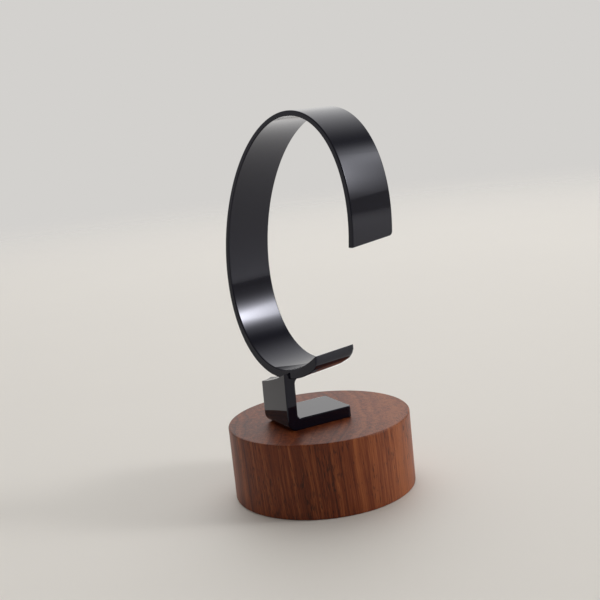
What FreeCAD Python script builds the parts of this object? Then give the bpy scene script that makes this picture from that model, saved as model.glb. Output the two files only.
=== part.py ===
import FreeCAD, Part
import os
import Sketcher

from FreeCAD import Placement, Rotation, Vector

# A watch stand: a walnut block that carries one moulded plastic holder, a C-shaped cuff on a short post.
# Millimetres. +Z is up, the origin is the centre of the block's underside, the cuff's strip runs along Y,
# and the cuff opens towards +X.
SIZES = (
    # the walnut block
    ("base_diameter", 60.0),
    ("base_height", 24.2),
    ("base_edge", 0.5),
    # the foot, which lies on the block and is turned clockwise from the cuff, as seen from above
    ("foot_turn", 16.0),
    ("foot_width", 17.2),
    ("foot_length", 23.2),
    ("foot_thickness", 3.8),
    ("foot_front", 15.8),
    ("foot_side", 0.8),
    ("foot_corner", 1.0),
    # the post, whose top slopes down on its left and rises to the rear, with a rounded ledge behind it
    ("post_thickness", 3.6),
    ("post_height", 17.3),
    ("post_slope", 3.3),
    ("post_overlap", 2.0),
    ("saddle_radius", 72.0),
    ("saddle_rise", 12.0),
    ("ledge_depth", 2.1),
    ("junction_radius", 2.0),
    ("heel_radius", 3.0),
    ("instep_radius", 1.4),
    # the cuff, an ellipse that leans towards its opening, thick at the root and thin at the tips
    ("rim_setback", 1.3),
    ("rim_shift", 1.35),
    ("strip_width", 17.2),
    ("cuff_length", 84.6),
    ("cuff_breadth", 55.0),
    ("cuff_lean", 16.8),
    ("wall_root", 2.85),
    ("wall_crown", 1.65),
    ("wall_back", 1.65),
    ("wall_mouth", 1.95),
    # the cuff's opening
    ("tip_rise", 1.6),
    ("tip_slant", 3.8),
    ("tip_trim", 4.0),
    ("tip_corner", 1.2),
    ("lip_reach", 8.35),
    ("lip_corner", 1.2),
    # the two bosses under the foot, and the screws that pull them down from below
    ("boss_diameter", 6.0),
    ("boss_length", 9.0),
    ("boss_spacing", 10.0),
    ("boss_setback", 4.3),
    ("socket_clearance", 0.3),
    ("screw_diameter", 2.8),
    ("screw_length", 12.0),
    ("screw_clearance", 0.6),
    ("bore_clearance", 0.1),
    ("bore_spare", 1.0),
    ("head_diameter", 5.6),
    ("head_height", 2.1),
    ("head_clearance", 2.4),
    ("head_depth", 10.0),
    ("point_length", 1.6),
    ("slot_width", 0.9),
    ("slot_length", 3.0),
    ("slot_depth", 1.1),
)

# Lengths that follow from the sizes, as the sheet's own formulas.
HALF_LONG = "(Sizes.cuff_length / 2)"
HALF_SHORT = "(Sizes.cuff_breadth / 2)"
LEAN = "(Sizes.cuff_lean * 1 deg)"
TURN = "(Sizes.foot_turn * 1 deg)"
FOOT_RIGHT = "(Sizes.foot_side + Sizes.foot_width / 2)"
FOOT_LEFT = "(Sizes.foot_side - Sizes.foot_width / 2)"
BASE_TOP = "Sizes.base_height"
# The post's front right corner, from which the cuff's lowest line and its front rim are set back.
CORNER_X = f"({FOOT_RIGHT} * cos({TURN}) - Sizes.foot_front * sin({TURN}))"
CORNER_Y = f"(-{FOOT_RIGHT} * sin({TURN}) - Sizes.foot_front * cos({TURN}))"
RIM_Y = f"({CORNER_Y} + Sizes.rim_setback)"
# Half the height of the leaning ellipse, and how far its lowest point lies from its centre.
HALF_HEIGHT = f"sqrt(pow({HALF_LONG} * cos({LEAN}); 2) + pow({HALF_SHORT} * sin({LEAN}); 2))"
LOW_POINT = f"((pow({HALF_LONG}; 2) - pow({HALF_SHORT}; 2)) * sin({LEAN}) * cos({LEAN}) / {HALF_HEIGHT})"
CUFF_X = f"({CORNER_X} - Sizes.rim_shift + {LOW_POINT})"
CUFF_Z = f"({BASE_TOP} + Sizes.post_height + {HALF_HEIGHT})"
# The inner ellipse is shifted along the outer one's axes, which makes the wall taper.
SHIFT_LONG = "((Sizes.wall_root - Sizes.wall_crown) / 2)"
SHIFT_SHORT = "((Sizes.wall_back - Sizes.wall_mouth) / 2)"
BORE_X = f"({CUFF_X} + {SHIFT_SHORT} * cos({LEAN}) + {SHIFT_LONG} * sin({LEAN}))"
BORE_Z = f"({CUFF_Z} - {SHIFT_SHORT} * sin({LEAN}) + {SHIFT_LONG} * cos({LEAN}))"
BORE_LONG = "(Sizes.cuff_length - Sizes.wall_root - Sizes.wall_crown)"
BORE_SHORT = "(Sizes.cuff_breadth - Sizes.wall_back - Sizes.wall_mouth)"

doc = FreeCAD.newDocument("watch_stand")
sheet = doc.addObject("Spreadsheet::Sheet", "Sizes")
for row, (alias, value) in enumerate(SIZES, start=1):
    sheet.set(f"A{row}", alias)
    sheet.set(f"B{row}", str(value))
    sheet.setAlias(f"B{row}", alias)
doc.recompute()


def number(formula):
    """The present value of a formula on the sheet's sizes."""
    result = sheet.evalExpression(formula)
    return float(getattr(result, "Value", result))


def body(name):
    """A new body with a label of its own."""
    made = doc.addObject("PartDesign::Body", name)
    made.Label = name
    return made


def sketch_on(owner, role, name, turn=None, axis=Vector(0, 1, 0), offset=None, tilt=None):
    """A sketch on one of the body's origin planes, turned, tilted and shifted in that plane's own frame."""
    plane = [item for item in owner.Origin.OriginFeatures if item.Role == role][0]
    made = owner.newObject("Sketcher::SketchObject", name)
    made.AttachmentSupport = [(plane, "")]
    made.MapMode = "FlatFace"
    made.AttachmentOffset = Placement(Vector(0, 0, 0), Rotation(axis, number(turn) if turn else 0.0))
    if tilt:
        leaning = Rotation(Vector(1, 0, 0), number(tilt))
        made.AttachmentOffset = Placement(Vector(0, 0, 0), Rotation(axis, number(turn)) * leaning)
    elif turn:
        made.setExpression("AttachmentOffset.Rotation.Angle", turn)
    for side, formula in (offset or {}).items():
        made.setExpression(f"AttachmentOffset.Base.{side}", formula)
    doc.recompute()
    return made


def pin(sketch, geometry, point, label, across, up):
    """Hold one point of a sketch at two formulas, measured from the sketch's origin."""
    for kind, side, formula in (("DistanceX", "across", across), ("DistanceY", "up", up)):
        index = sketch.addConstraint(Sketcher.Constraint(kind, -1, 1, geometry, point, number(formula)))
        sketch.renameConstraint(index, f"{label}_{side}")
        sketch.setExpression(f"Constraints.{label}_{side}", formula)


def polygon(sketch, corners):
    """A closed outline of straight lines through named corners."""
    places = [Vector(number(across), number(up), 0) for _, across, up in corners]
    count = len(corners)
    lines = []
    for k in range(count):
        side = Part.LineSegment(places[k], places[(k + 1) % count])
        lines.append(sketch.addGeometry(side, False))
    for k in range(count):
        sketch.addConstraint(Sketcher.Constraint("Coincident", lines[k], 2, lines[(k + 1) % count], 1))
    for line, (label, across, up) in zip(lines, corners):
        pin(sketch, line, 1, label, across, up)


def circle(sketch, label, across, up, diameter):
    """A circle with its centre at two formulas."""
    centre = Vector(number(across), number(up), 0)
    index = sketch.addGeometry(Part.Circle(centre, Vector(0, 0, 1), number(diameter) / 2), False)
    pin(sketch, index, 3, label, across, up)
    size = sketch.addConstraint(Sketcher.Constraint("Diameter", index, number(diameter)))
    sketch.renameConstraint(size, f"{label}_diameter")
    sketch.setExpression(f"Constraints.{label}_diameter", diameter)


def ellipse(sketch, label, across, up, long_axis, short_axis, lean):
    """An ellipse whose long axis leans by an angle from the vertical."""
    centre = Vector(number(across), number(up), 0)
    along = Rotation(Vector(0, 0, 1), -number(lean))
    low = centre - along.multVec(Vector(0, number(long_axis) / 2, 0))
    side = centre + along.multVec(Vector(number(short_axis) / 2, 0, 0))
    index = sketch.addGeometry(Part.Ellipse(low, side, centre), False)
    sketch.exposeInternalGeometry(index)
    long_line, short_line = index + 1, index + 2
    pin(sketch, index, 3, label, across, up)
    for name, kind, line, formula in (
        ("long", "Distance", long_line, long_axis),
        ("short", "Distance", short_line, short_axis),
        ("lean", "Angle", long_line, f"90 deg - {lean}"),
    ):
        value = number(formula)
        value = value * FreeCAD.Units.Quantity("1 deg").getValueAs("rad").Value if kind == "Angle" else value
        made = sketch.addConstraint(Sketcher.Constraint(kind, line, value))
        sketch.renameConstraint(made, f"{label}_{name}")
        sketch.setExpression(f"Constraints.{label}_{name}", formula)


def feature(owner, kind, name, profile, **sizes):
    """A pad, pocket or revolution from a sketch; sizes that are text are formulas."""
    made = owner.newObject(f"PartDesign::{kind}", name)
    made.Profile = profile
    for key, value in sizes.items():
        if isinstance(value, str) and "Sizes." in value:
            made.setExpression(key, value)
        else:
            setattr(made, key, value)
    profile.Visibility = False
    doc.recompute()
    owner.Tip = made
    return made


def edges_where(shape, test):
    """The names of the edges whose middle point and direction pass a test."""
    names = []
    for index, edge in enumerate(shape.Edges, start=1):
        middle = edge.valueAt((edge.FirstParameter + edge.LastParameter) / 2)
        if test(edge, middle):
            names.append(f"Edge{index}")
    return names


def dress(owner, kind, name, size, test):
    """Round or chamfer the edges that pass a test."""
    base = owner.Tip
    names = edges_where(base.Shape, test)
    if not names:
        raise RuntimeError(f"{name}: no edge found")
    made = owner.newObject(f"PartDesign::{kind}", name)
    made.Base = (base, names)
    made.setExpression("Radius" if kind == "Fillet" else "Size", size)
    doc.recompute()
    owner.Tip = made
    return made


def boss_places():
    """The two bosses' centres in the foot's own directions: label, across, along."""
    half = "Sizes.boss_spacing / 2"
    return (
        ("left", f"Sizes.foot_side - {half}", "-Sizes.boss_setback"),
        ("right", f"Sizes.foot_side + {half}", "-Sizes.boss_setback"),
    )


def build_base():
    """The block: a turned disc with eased edges, two sockets on top and two counterbored holes below."""
    owner = body("base")
    profile = sketch_on(owner, "XZ_Plane", "block_profile")
    polygon(profile, (
        ("axis_low", "0", "0"),
        ("rim_low", "Sizes.base_diameter / 2", "0"),
        ("rim_high", "Sizes.base_diameter / 2", "Sizes.base_height"),
        ("axis_high", "0", "Sizes.base_height"),
    ))
    turned = owner.newObject("PartDesign::Revolution", "turned_block")
    turned.Profile = profile
    turned.ReferenceAxis = (profile, ["V_Axis"])
    turned.Angle = 360.0
    doc.recompute()
    owner.Tip = turned
    radius = number("Sizes.base_diameter / 2")

    def round_edge(edge, middle):
        return edge.Length > radius * 6 and abs(middle.x ** 2 + middle.y ** 2 - radius ** 2) < 1e-3

    dress(owner, "Chamfer", "eased_edges", "Sizes.base_edge", round_edge)
    cuts = (
        ("socket", "Sizes.boss_diameter + 2 * Sizes.socket_clearance", BASE_TOP,
         "Sizes.boss_length + Sizes.socket_clearance", False),
        ("shank_hole", "Sizes.screw_diameter + Sizes.screw_clearance", BASE_TOP, BASE_TOP, False),
        ("counterbore", "Sizes.head_diameter + Sizes.head_clearance", "0",
         "Sizes.head_depth", True),
    )
    for name, diameter, level, depth, upwards in cuts:
        sketch = sketch_on(owner, "XY_Plane", f"{name}_circles", f"-{TURN}", Vector(0, 0, 1), {"z": level})
        for label, across, along in boss_places():
            circle(sketch, label, across, along, diameter)
        feature(owner, "Pocket", f"{name}_pocket", sketch, Length=depth, Reversed=upwards)
    return owner


def build_holder():
    """The moulded holder: foot and post from one side outline, then the bosses, then the leaning cuff."""
    owner = body("watch_holder")
    side = sketch_on(owner, "YZ_Plane", "foot_and_post", f"-{TURN}")
    back = "Sizes.post_thickness - Sizes.foot_front"
    end = "Sizes.foot_length - Sizes.foot_front"
    foot_top = f"{BASE_TOP} + Sizes.foot_thickness"
    joint = f"{BASE_TOP} + Sizes.post_height"
    ledge = f"{back} + Sizes.ledge_depth"
    post_top = f"{BASE_TOP} + Sizes.post_height + 3 * Sizes.wall_root / 4"
    polygon(side, (
        ("heel", "-Sizes.foot_front", BASE_TOP),
        ("toe_low", end, BASE_TOP),
        ("toe_high", end, foot_top),
        ("instep", back, foot_top),
        ("ledge_root", back, joint),
        ("ledge_low", ledge, joint),
        ("ledge_high", ledge, post_top),
        ("post_front", "-Sizes.foot_front", post_top),
    ))
    feature(owner, "Pad", "bracket", side, SideType="Two sides", Length=FOOT_RIGHT, Length2=f"-{FOOT_LEFT}")
    turn = Rotation(Vector(0, 0, 1), number(f"-{TURN}"))
    along = turn.multVec(Vector(0, 1, 0))

    def level_edge(at, height):
        place, level = number(at), number(height)
        return lambda edge, middle: abs(middle.dot(along) - place) < 1e-3 and abs(middle.z - level) < 1e-3

    dress(owner, "Fillet", "junction", "Sizes.junction_radius", level_edge(back, joint))

    # The post's top falls along a hollow arc, from just inside the strip on the right to its left corner.
    # The arc's sketch leans, so that its cut rises to the rear. Its heights are those at the post's front.
    saddle = sketch_on(owner, "XZ_Plane", "saddle_outline", f"-{TURN}", tilt="Sizes.saddle_rise * 1 deg")
    rise = "(Sizes.saddle_rise * 1 deg)"
    post_level = f"{BASE_TOP} + Sizes.post_height + Sizes.foot_front * tan{rise}"
    low = f"({post_level} - Sizes.post_slope) * cos{rise}"
    high = f"({post_level} + Sizes.post_overlap) * cos{rise}"
    above = f"({post_level} + 3 * Sizes.wall_root) * cos{rise}"
    left, right = Vector(number(FOOT_LEFT), number(low), 0), Vector(number(FOOT_RIGHT), number(high), 0)
    chord = right - left
    radius = number("Sizes.saddle_radius")
    up = Vector(-chord.y, chord.x, 0).normalize()
    centre = (left + right) / 2 + up * (radius ** 2 - (chord.Length / 2) ** 2) ** 0.5
    middle = centre - up * radius
    arc = saddle.addGeometry(Part.Arc(left, middle, right), False)
    corners = [right, Vector(right.x, number(above), 0), Vector(left.x, number(above), 0), left]
    lines = [saddle.addGeometry(Part.LineSegment(corners[k], corners[k + 1]), False) for k in range(3)]
    for first, second in ((lines[0], lines[1]), (lines[1], lines[2])):
        saddle.addConstraint(Sketcher.Constraint("Coincident", first, 2, second, 1))
    saddle.addConstraint(Sketcher.Constraint("Coincident", arc, 2, lines[0], 1))
    saddle.addConstraint(Sketcher.Constraint("Coincident", lines[2], 2, arc, 1))
    pin(saddle, arc, 1, "left_low", FOOT_LEFT, low)
    pin(saddle, arc, 2, "right_low", FOOT_RIGHT, high)
    pin(saddle, lines[1], 1, "right_high", FOOT_RIGHT, above)
    pin(saddle, lines[2], 1, "left_high", FOOT_LEFT, above)
    index = saddle.addConstraint(Sketcher.Constraint("Radius", arc, radius))
    saddle.renameConstraint(index, "saddle")
    saddle.setExpression("Constraints.saddle", "Sizes.saddle_radius")
    feature(owner, "Pocket", "post_saddle", saddle, Type="ThroughAll", SideType="Symmetric")
    dress(owner, "Fillet", "heel", "Sizes.heel_radius", level_edge("-Sizes.foot_front", BASE_TOP))
    dress(owner, "Fillet", "instep", "Sizes.instep_radius", level_edge(back, foot_top))

    def toe_corner(edge, middle):
        upright = abs(edge.tangentAt(edge.FirstParameter).z) > 0.99
        return upright and abs(middle.dot(along) - number(end)) < 1e-3

    dress(owner, "Fillet", "toe_corners", "Sizes.foot_corner", toe_corner)

    bosses = sketch_on(owner, "XY_Plane", "boss_circles", f"-{TURN}", Vector(0, 0, 1), {"z": BASE_TOP})
    for label, x, y in boss_places():
        circle(bosses, label, x, y, "Sizes.boss_diameter")
    feature(owner, "Pad", "bosses", bosses, Length="Sizes.boss_length", Reversed=True)
    bores = sketch_on(owner, "XY_Plane", "bore_circles", f"-{TURN}", Vector(0, 0, 1),
                      {"z": f"{BASE_TOP} - Sizes.boss_length"})
    for label, x, y in boss_places():
        circle(bores, label, x, y, "Sizes.screw_diameter + 2 * Sizes.bore_clearance")
    reach = f"Sizes.screw_length + Sizes.head_depth + Sizes.bore_spare - {BASE_TOP} + Sizes.boss_length"
    feature(owner, "Pocket", "boss_bores", bores, Length=reach, Reversed=True)

    disc = sketch_on(owner, "XZ_Plane", "outer_ellipse", offset={"z": f"-{RIM_Y}"})
    ellipse(disc, "outer", CUFF_X, CUFF_Z, "Sizes.cuff_length", "Sizes.cuff_breadth", LEAN)
    feature(owner, "Pad", "cuff_disc", disc, Length="Sizes.strip_width", Reversed=True)
    hollow = sketch_on(owner, "XZ_Plane", "inner_ellipse", offset={"z": f"-{RIM_Y}"})
    ellipse(hollow, "inner", BORE_X, BORE_Z, BORE_LONG, BORE_SHORT, LEAN)
    feature(owner, "Pocket", "cuff_bore", hollow, Type="ThroughAll", SideType="Symmetric")

    # The opening: level under the upper tip, and cut plumb at the curled-up lower lip.
    mouth = sketch_on(owner, "XZ_Plane", "mouth_outline", offset={"z": f"-{RIM_Y}"})
    lip = f"{CUFF_X} + Sizes.lip_reach"
    far = f"{CUFF_X} + Sizes.cuff_breadth"
    bottom = f"{CUFF_Z} - {HALF_LONG}"
    trim_level = f"{CUFF_Z} + Sizes.tip_rise - Sizes.tip_trim / 2"
    polygon(mouth, (
        ("lip_low", lip, bottom),
        ("low_outside", far, bottom),
        ("tip_outside", far, trim_level),
        ("lip_high", lip, trim_level),
    ))
    feature(owner, "Pocket", "mouth", mouth, Type="ThroughAll", SideType="Symmetric")

    # The upper tip's cut rises towards the rear rim.
    trim = sketch_on(owner, "XZ_Plane", "tip_outline", "Sizes.tip_slant * 1 deg", Vector(1, 0, 0),
                     {"y": f"{CUFF_Z} + Sizes.tip_rise", "z": f"-{RIM_Y} - Sizes.strip_width / 2"})
    polygon(trim, (
        ("left_low", CUFF_X, "-Sizes.tip_trim"),
        ("right_low", far, "-Sizes.tip_trim"),
        ("right_high", far, "0"),
        ("left_high", CUFF_X, "0"),
    ))
    feature(owner, "Pocket", "tip_trim", trim, Type="ThroughAll", SideType="Symmetric")

    front_rim, rear_rim = number(RIM_Y), number(f"{RIM_Y} + Sizes.strip_width")
    mouth_x, mouth_z, lip_x = number(CUFF_X), number(f"{CUFF_Z} + Sizes.tip_rise"), number(lip)

    def tip_end(edge, middle):
        short = edge.Length < number("3 * Sizes.wall_mouth") and middle.x > mouth_x
        return short and abs(middle.y - rear_rim) < 1e-3 and abs(middle.z - mouth_z) < 1.5

    def lip_end(edge, middle):
        at_rim = min(abs(middle.y - front_rim), abs(middle.y - rear_rim)) < 1e-3
        return at_rim and abs(middle.x - lip_x) < 1e-3 and abs(edge.tangentAt(edge.FirstParameter).z) > 0.99

    dress(owner, "Fillet", "tip_corner", "Sizes.tip_corner", tip_end)
    dress(owner, "Fillet", "lip_corners", "Sizes.lip_corner", lip_end)
    return owner


def build_screw(name, across, along):
    """A pan-head screw with a plain shank, a point and a cross recess, upright with its head below."""
    owner = body(name)
    profile = sketch_on(owner, "XZ_Plane", f"{name}_profile")
    axis = "0"
    polygon(profile, (
        ("head_middle", axis, "-Sizes.head_height"),
        ("head_face", "Sizes.head_diameter / 4", "-Sizes.head_height"),
        ("head_rim", "Sizes.head_diameter / 2", "-Sizes.head_height / 3"),
        ("head_seat", "Sizes.head_diameter / 2", axis),
        ("shank_root", "Sizes.screw_diameter / 2", axis),
        ("shank_end", "Sizes.screw_diameter / 2", "Sizes.screw_length - Sizes.point_length"),
        ("tip", axis, "Sizes.screw_length"),
    ))
    turned = owner.newObject("PartDesign::Revolution", f"{name}_turned")
    turned.Profile = profile
    turned.ReferenceAxis = (profile, ["V_Axis"])
    turned.Angle = 360.0
    doc.recompute()
    owner.Tip = turned
    half_long, half_wide = "Sizes.slot_length / 2", "Sizes.slot_width / 2"
    for slot, (x, y) in (("slot_a", (half_long, half_wide)), ("slot_b", (half_wide, half_long))):
        sketch = sketch_on(owner, "XY_Plane", f"{name}_{slot}", offset={"z": "-Sizes.head_height"})
        polygon(sketch, (("a", f"-{x}", f"-{y}"), ("b", x, f"-{y}"), ("c", x, y), ("d", f"-{x}", y)))
        feature(owner, "Pocket", f"{name}_{slot}_pocket", sketch, Length="Sizes.slot_depth", Reversed=True)
    owner.setExpression("Placement.Base.x", f"({across}) * cos({TURN}) + ({along}) * sin({TURN})")
    owner.setExpression("Placement.Base.y", f"({along}) * cos({TURN}) - ({across}) * sin({TURN})")
    owner.setExpression("Placement.Base.z", "Sizes.head_depth")
    doc.recompute()
    return owner


def build_screws():
    """Both screws, as one group of separate solids."""
    made = [build_screw(f"{label}_screw", across, along) for label, across, along in boss_places()]
    group = doc.addObject("Part::Compound", "fixing_screws")
    group.Label = "fixing_screws"
    group.Links = made
    doc.recompute()
    return group


def main():
    nodes = [build_base(), build_holder(), build_screws()]
    doc.recompute()
    for item in doc.Objects:
        if "Invalid" in item.State or "Error" in item.State:
            raise RuntimeError(f"{item.Label} failed: {item.State}")
    os.makedirs("parts", exist_ok=True)
    for node in nodes:
        shape = node.Shape
        if shape.isNull() or not shape.isValid():
            raise RuntimeError(f"{node.Label} has no valid shape")
        shape.exportStep(f"parts/{node.Label}.step")
        box = shape.BoundBox
        low, high = (box.XMin, box.YMin, box.ZMin), (box.XMax, box.YMax, box.ZMax)
        print(node.Label, len(shape.Solids), "solids, low corner", low, "high corner", high)


main()
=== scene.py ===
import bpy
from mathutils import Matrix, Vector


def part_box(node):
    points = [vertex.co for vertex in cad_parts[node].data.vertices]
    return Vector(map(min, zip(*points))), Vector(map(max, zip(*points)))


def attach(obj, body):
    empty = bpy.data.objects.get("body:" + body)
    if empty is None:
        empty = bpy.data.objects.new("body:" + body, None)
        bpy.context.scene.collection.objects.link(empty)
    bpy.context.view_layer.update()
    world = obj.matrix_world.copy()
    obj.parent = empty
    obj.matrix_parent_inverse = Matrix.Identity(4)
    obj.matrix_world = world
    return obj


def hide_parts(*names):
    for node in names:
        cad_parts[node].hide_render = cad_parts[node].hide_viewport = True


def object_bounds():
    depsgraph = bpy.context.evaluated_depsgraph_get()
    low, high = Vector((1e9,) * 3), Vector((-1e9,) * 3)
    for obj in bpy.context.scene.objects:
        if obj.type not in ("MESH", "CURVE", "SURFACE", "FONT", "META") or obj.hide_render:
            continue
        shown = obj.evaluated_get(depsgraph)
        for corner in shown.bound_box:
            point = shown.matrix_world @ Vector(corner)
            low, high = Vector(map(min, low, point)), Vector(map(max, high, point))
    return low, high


bl_info = {
    "name": "Watch stand",
    "version": (1, 0, 0),
    "blender": (4, 5, 0),
    "location": "3D View > Sidebar > Watch stand",
    "description": "A gloss black C-shaped cuff on a turned walnut block, with a plain stage",
    "category": "Object",
}

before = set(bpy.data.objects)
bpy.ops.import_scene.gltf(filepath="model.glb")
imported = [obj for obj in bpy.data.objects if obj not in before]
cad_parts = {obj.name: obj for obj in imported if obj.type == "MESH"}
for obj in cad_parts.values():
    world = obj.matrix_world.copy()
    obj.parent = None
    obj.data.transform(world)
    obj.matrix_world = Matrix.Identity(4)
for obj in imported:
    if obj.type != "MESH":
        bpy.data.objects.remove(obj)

import math

import bmesh
import bpy
import numpy as np
from bpy.props import FloatProperty, FloatVectorProperty, PointerProperty, StringProperty
from bpy.types import Operator, Panel, PropertyGroup
from mathutils import Matrix, Vector

CAD_BOX = [list(corner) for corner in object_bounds()]
BLOCK_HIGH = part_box("base")[1]
MM = 0.001


# Sizes and colours

def length(name, text, value):
    """A size in metres, shown in the scene's own unit."""
    return FloatProperty(name=name, description=text, default=value * MM,
                         unit="LENGTH", subtype="DISTANCE")


def turn(name, text, value):
    """An angle, given in degrees and kept in radians."""
    return FloatProperty(name=name, description=text, default=math.radians(value),
                         unit="ROTATION", subtype="ANGLE")


def colour(name, text, value):
    """An sRGB hex colour."""
    return StringProperty(name=name, description=text, default=value)


class WatchStandBlock(PropertyGroup):
    edge: length("Eased edge", "Radius of the block's upper and lower edges", 0.5)
    counterbore_diameter: length(
        "Counterbore diameter", "Width of the recess for a screw's head", 8.0)
    counterbore_depth: length(
        "Counterbore depth", "How far a screw's head is sunk from below", 10.0)
    screw_hole: length(
        "Screw hole", "Width of the hole that a screw's shank passes through", 3.4)
    socket_diameter: length(
        "Socket diameter", "Width of the hole that takes a boss of the foot", 6.6)
    socket_depth: length("Socket depth", "Depth of the hole that takes a boss of the foot", 9.3)
    walnut_dark: colour("Dark walnut", "Colour of the late wood", "#431A0A")
    walnut_mid: colour("Walnut", "Colour of most of the wood", "#6B2F13")
    walnut_light: colour("Light walnut", "Colour of the early wood", "#97542D")
    walnut_pore: colour("Walnut pores", "Colour of the pores", "#2A130A")


class WatchStandHolder(PropertyGroup):
    foot_turn: turn(
        "Foot turn", "How far the foot is turned clockwise from the cuff, seen from above", 16.0)
    foot_width: length("Foot width", "Width of the foot and of the post", 17.2)
    foot_length: length("Foot length", "From the post's front to the foot's end", 23.2)
    foot_thickness: length("Foot thickness", "Thickness of the foot", 3.8)
    foot_front: length("Foot front", "From the block's centre to the post's front", 15.8)
    foot_side: length(
        "Foot side", "How far the foot's middle lies to the right of the block's centre", 0.8)
    foot_corner: length("Foot corner", "Radius of the foot's two far corners", 1.0)
    post_thickness: length("Post thickness", "Thickness of the post", 3.6)
    post_height: length("Post height", "From the block to the cuff's lowest line", 17.3)
    post_slope: length("Post slope", "How far the post's top falls on its left", 3.3)
    post_lean: length(
        "Post lean", "How far the post's top stands to the right of its bottom", 0.5)
    post_overlap: length(
        "Post overlap", "How far the post's top reaches into the strip", 2.0)
    saddle_radius: length("Saddle radius", "Radius of the post's hollow top", 72.0)
    saddle_rise: turn("Saddle rise", "How steeply the post's top rises to the rear", 12.0)
    heel_radius: length("Heel radius", "Radius outside the bend from post to foot", 3.0)
    instep_radius: length("Instep radius", "Radius inside the bend from post to foot", 1.4)
    junction_radius: length(
        "Junction radius", "Radius between the post's back and the strip", 2.0)
    boss_diameter: length("Boss diameter", "Width of the two bosses under the foot", 6.0)
    boss_length: length("Boss length", "Length of the two bosses under the foot", 9.0)
    boss_spacing: length("Boss spacing", "Between the two bosses' centres", 10.0)
    boss_setback: length(
        "Boss setback", "From the block's centre to the line of the bosses", 4.3)
    rim_setback: length(
        "Rim setback", "How far the cuff's front rim lies behind the post's front corner", 1.3)
    rim_shift: length(
        "Rim shift", "How far the cuff's lowest line lies left of the post's corner", 1.35)
    strip_width: length("Strip width", "Width of the cuff's strip", 17.2)
    cuff_length: length("Cuff length", "The cuff's long outer diameter", 84.6)
    cuff_breadth: length("Cuff breadth", "The cuff's short outer diameter", 55.0)
    cuff_lean: turn("Cuff lean", "How far the cuff leans towards its opening", 16.8)
    wall_root: length("Wall at the root", "The strip's thickness over the post", 2.85)
    wall_crown: length("Wall at the crown", "The strip's thickness at the top", 1.65)
    wall_back: length("Wall at the back", "The strip's thickness on the closed side", 1.65)
    wall_mouth: length("Wall at the mouth", "The strip's thickness on the open side", 1.95)
    tip_rise: length("Tip rise", "From the cuff's centre up to its upper tip", 1.6)
    tip_slant: turn(
        "Tip slant", "How far the upper tip's cut rises towards the rear rim", 3.8)
    tip_corner: length("Tip corner", "Radius of the upper tip's rear corner", 1.2)
    lip_reach: length(
        "Lip reach", "From the cuff's centre to the lower lip's plumb cut", 8.35)
    lip_corner: length("Lip corner", "Radius of the lower lip's two corners", 0.6)
    lip_round: length(
        "Lip round", "Radius under the lower lip, along its end and its rear rim", 1.9)
    lip_swell: length(
        "Lip swell", "How much the strip thickens downwards towards the lower lip", 0.6)
    edge: length("Moulded edge", "Radius along every moulded edge", 0.35)
    plastic: colour("Plastic", "Colour of the black plastic", "#0B0B16")
    plastic_sheen: colour("Plastic sheen", "Tint of the black plastic's reflections", "#E1E2F1")


class WatchStandScrews(PropertyGroup):
    steel: colour("Screw steel", "Colour of the plated steel", "#B9BAB8")


class WatchStandStage(PropertyGroup):
    floor: colour("Floor", "Colour of the floor", "#E6E2DB")
    room: colour("Room", "Colour of the room at eye level", "#D3D1CE")
    room_above: colour("Room above", "Colour of the room overhead", "#8C8A88")
    dark_side: colour("Dark side", "Colour of the room on the right", "#ACA8A2")
    dark_side_above: colour(
        "Dark side above", "Colour of the room on the right, above eye level", "#5A5A5C")
    camera_place: FloatVectorProperty(
        name="Camera place", description="Where the camera stands", size=3,
        default=(239.7 * MM, -226.8 * MM, 122.9 * MM), unit="LENGTH", subtype="TRANSLATION")
    camera_heading: turn(
        "Camera heading", "Turn of the view from straight along the strip's width", 46.95)
    camera_dip: turn("Camera dip", "How far the camera looks down", 10.2)
    camera_roll: turn("Camera roll", "How far the camera is tipped clockwise", 6.04)
    camera_lens: FloatProperty(
        name="Lens", description="Focal length in millimetres", default=62.06)


# Meshes

MERGE_DISTANCE = 1e-7  # points closer than this are one
SHARP_ANGLE = math.radians(40)  # an edge that turns further than this stays sharp
FACE_WEIGHT = 100  # of 100: at a smooth edge the largest face alone sets the shading
CYLINDER_STEPS = 64
BLOCK_STEPS = 320
BLOCK_EDGE_POINTS = 7
BLOCK_FLAT_RINGS = np.array([0, 0.5, 0.97])  # on the block's flat faces, in radii


def new_piece(name, mesh):
    """An object at the origin that shows the mesh."""
    piece = bpy.data.objects.new(name, mesh)
    bpy.context.scene.collection.objects.link(piece)
    return piece


def tidied(mesh):
    """Merges points that coincide and turns every face outwards."""
    work = bmesh.new()
    work.from_mesh(mesh)
    bmesh.ops.remove_doubles(work, verts=work.verts, dist=MERGE_DISTANCE)
    bmesh.ops.recalc_face_normals(work, faces=work.faces)
    work.to_mesh(mesh)
    work.free()
    return mesh


def tube_mesh(name, rings, folded=False):
    """A closed skin over rings of points, an array of (ring, point, xyz): a quad between each two
    points of a ring and the same two of the next. A flat face closes each end, or only the last
    where the first ring is folded onto a line."""
    count, size, _ = rings.shape
    ring = np.arange(count - 1)[:, None] * size
    here = ring + np.arange(size)[None, :]
    side = ring + (np.arange(size)[None, :] + 1) % size
    quads = np.stack([here, here + size, side + size, side], axis=-1).reshape(-1, 4)
    first, last = list(range(size)), list(range((count - 1) * size, count * size))
    ends = [last[::-1]] if folded else [first, last[::-1]]
    mesh = bpy.data.meshes.new(name)
    mesh.from_pydata(rings.reshape(-1, 3).tolist(), [], quads.tolist() + ends)
    return tidied(mesh)


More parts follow.
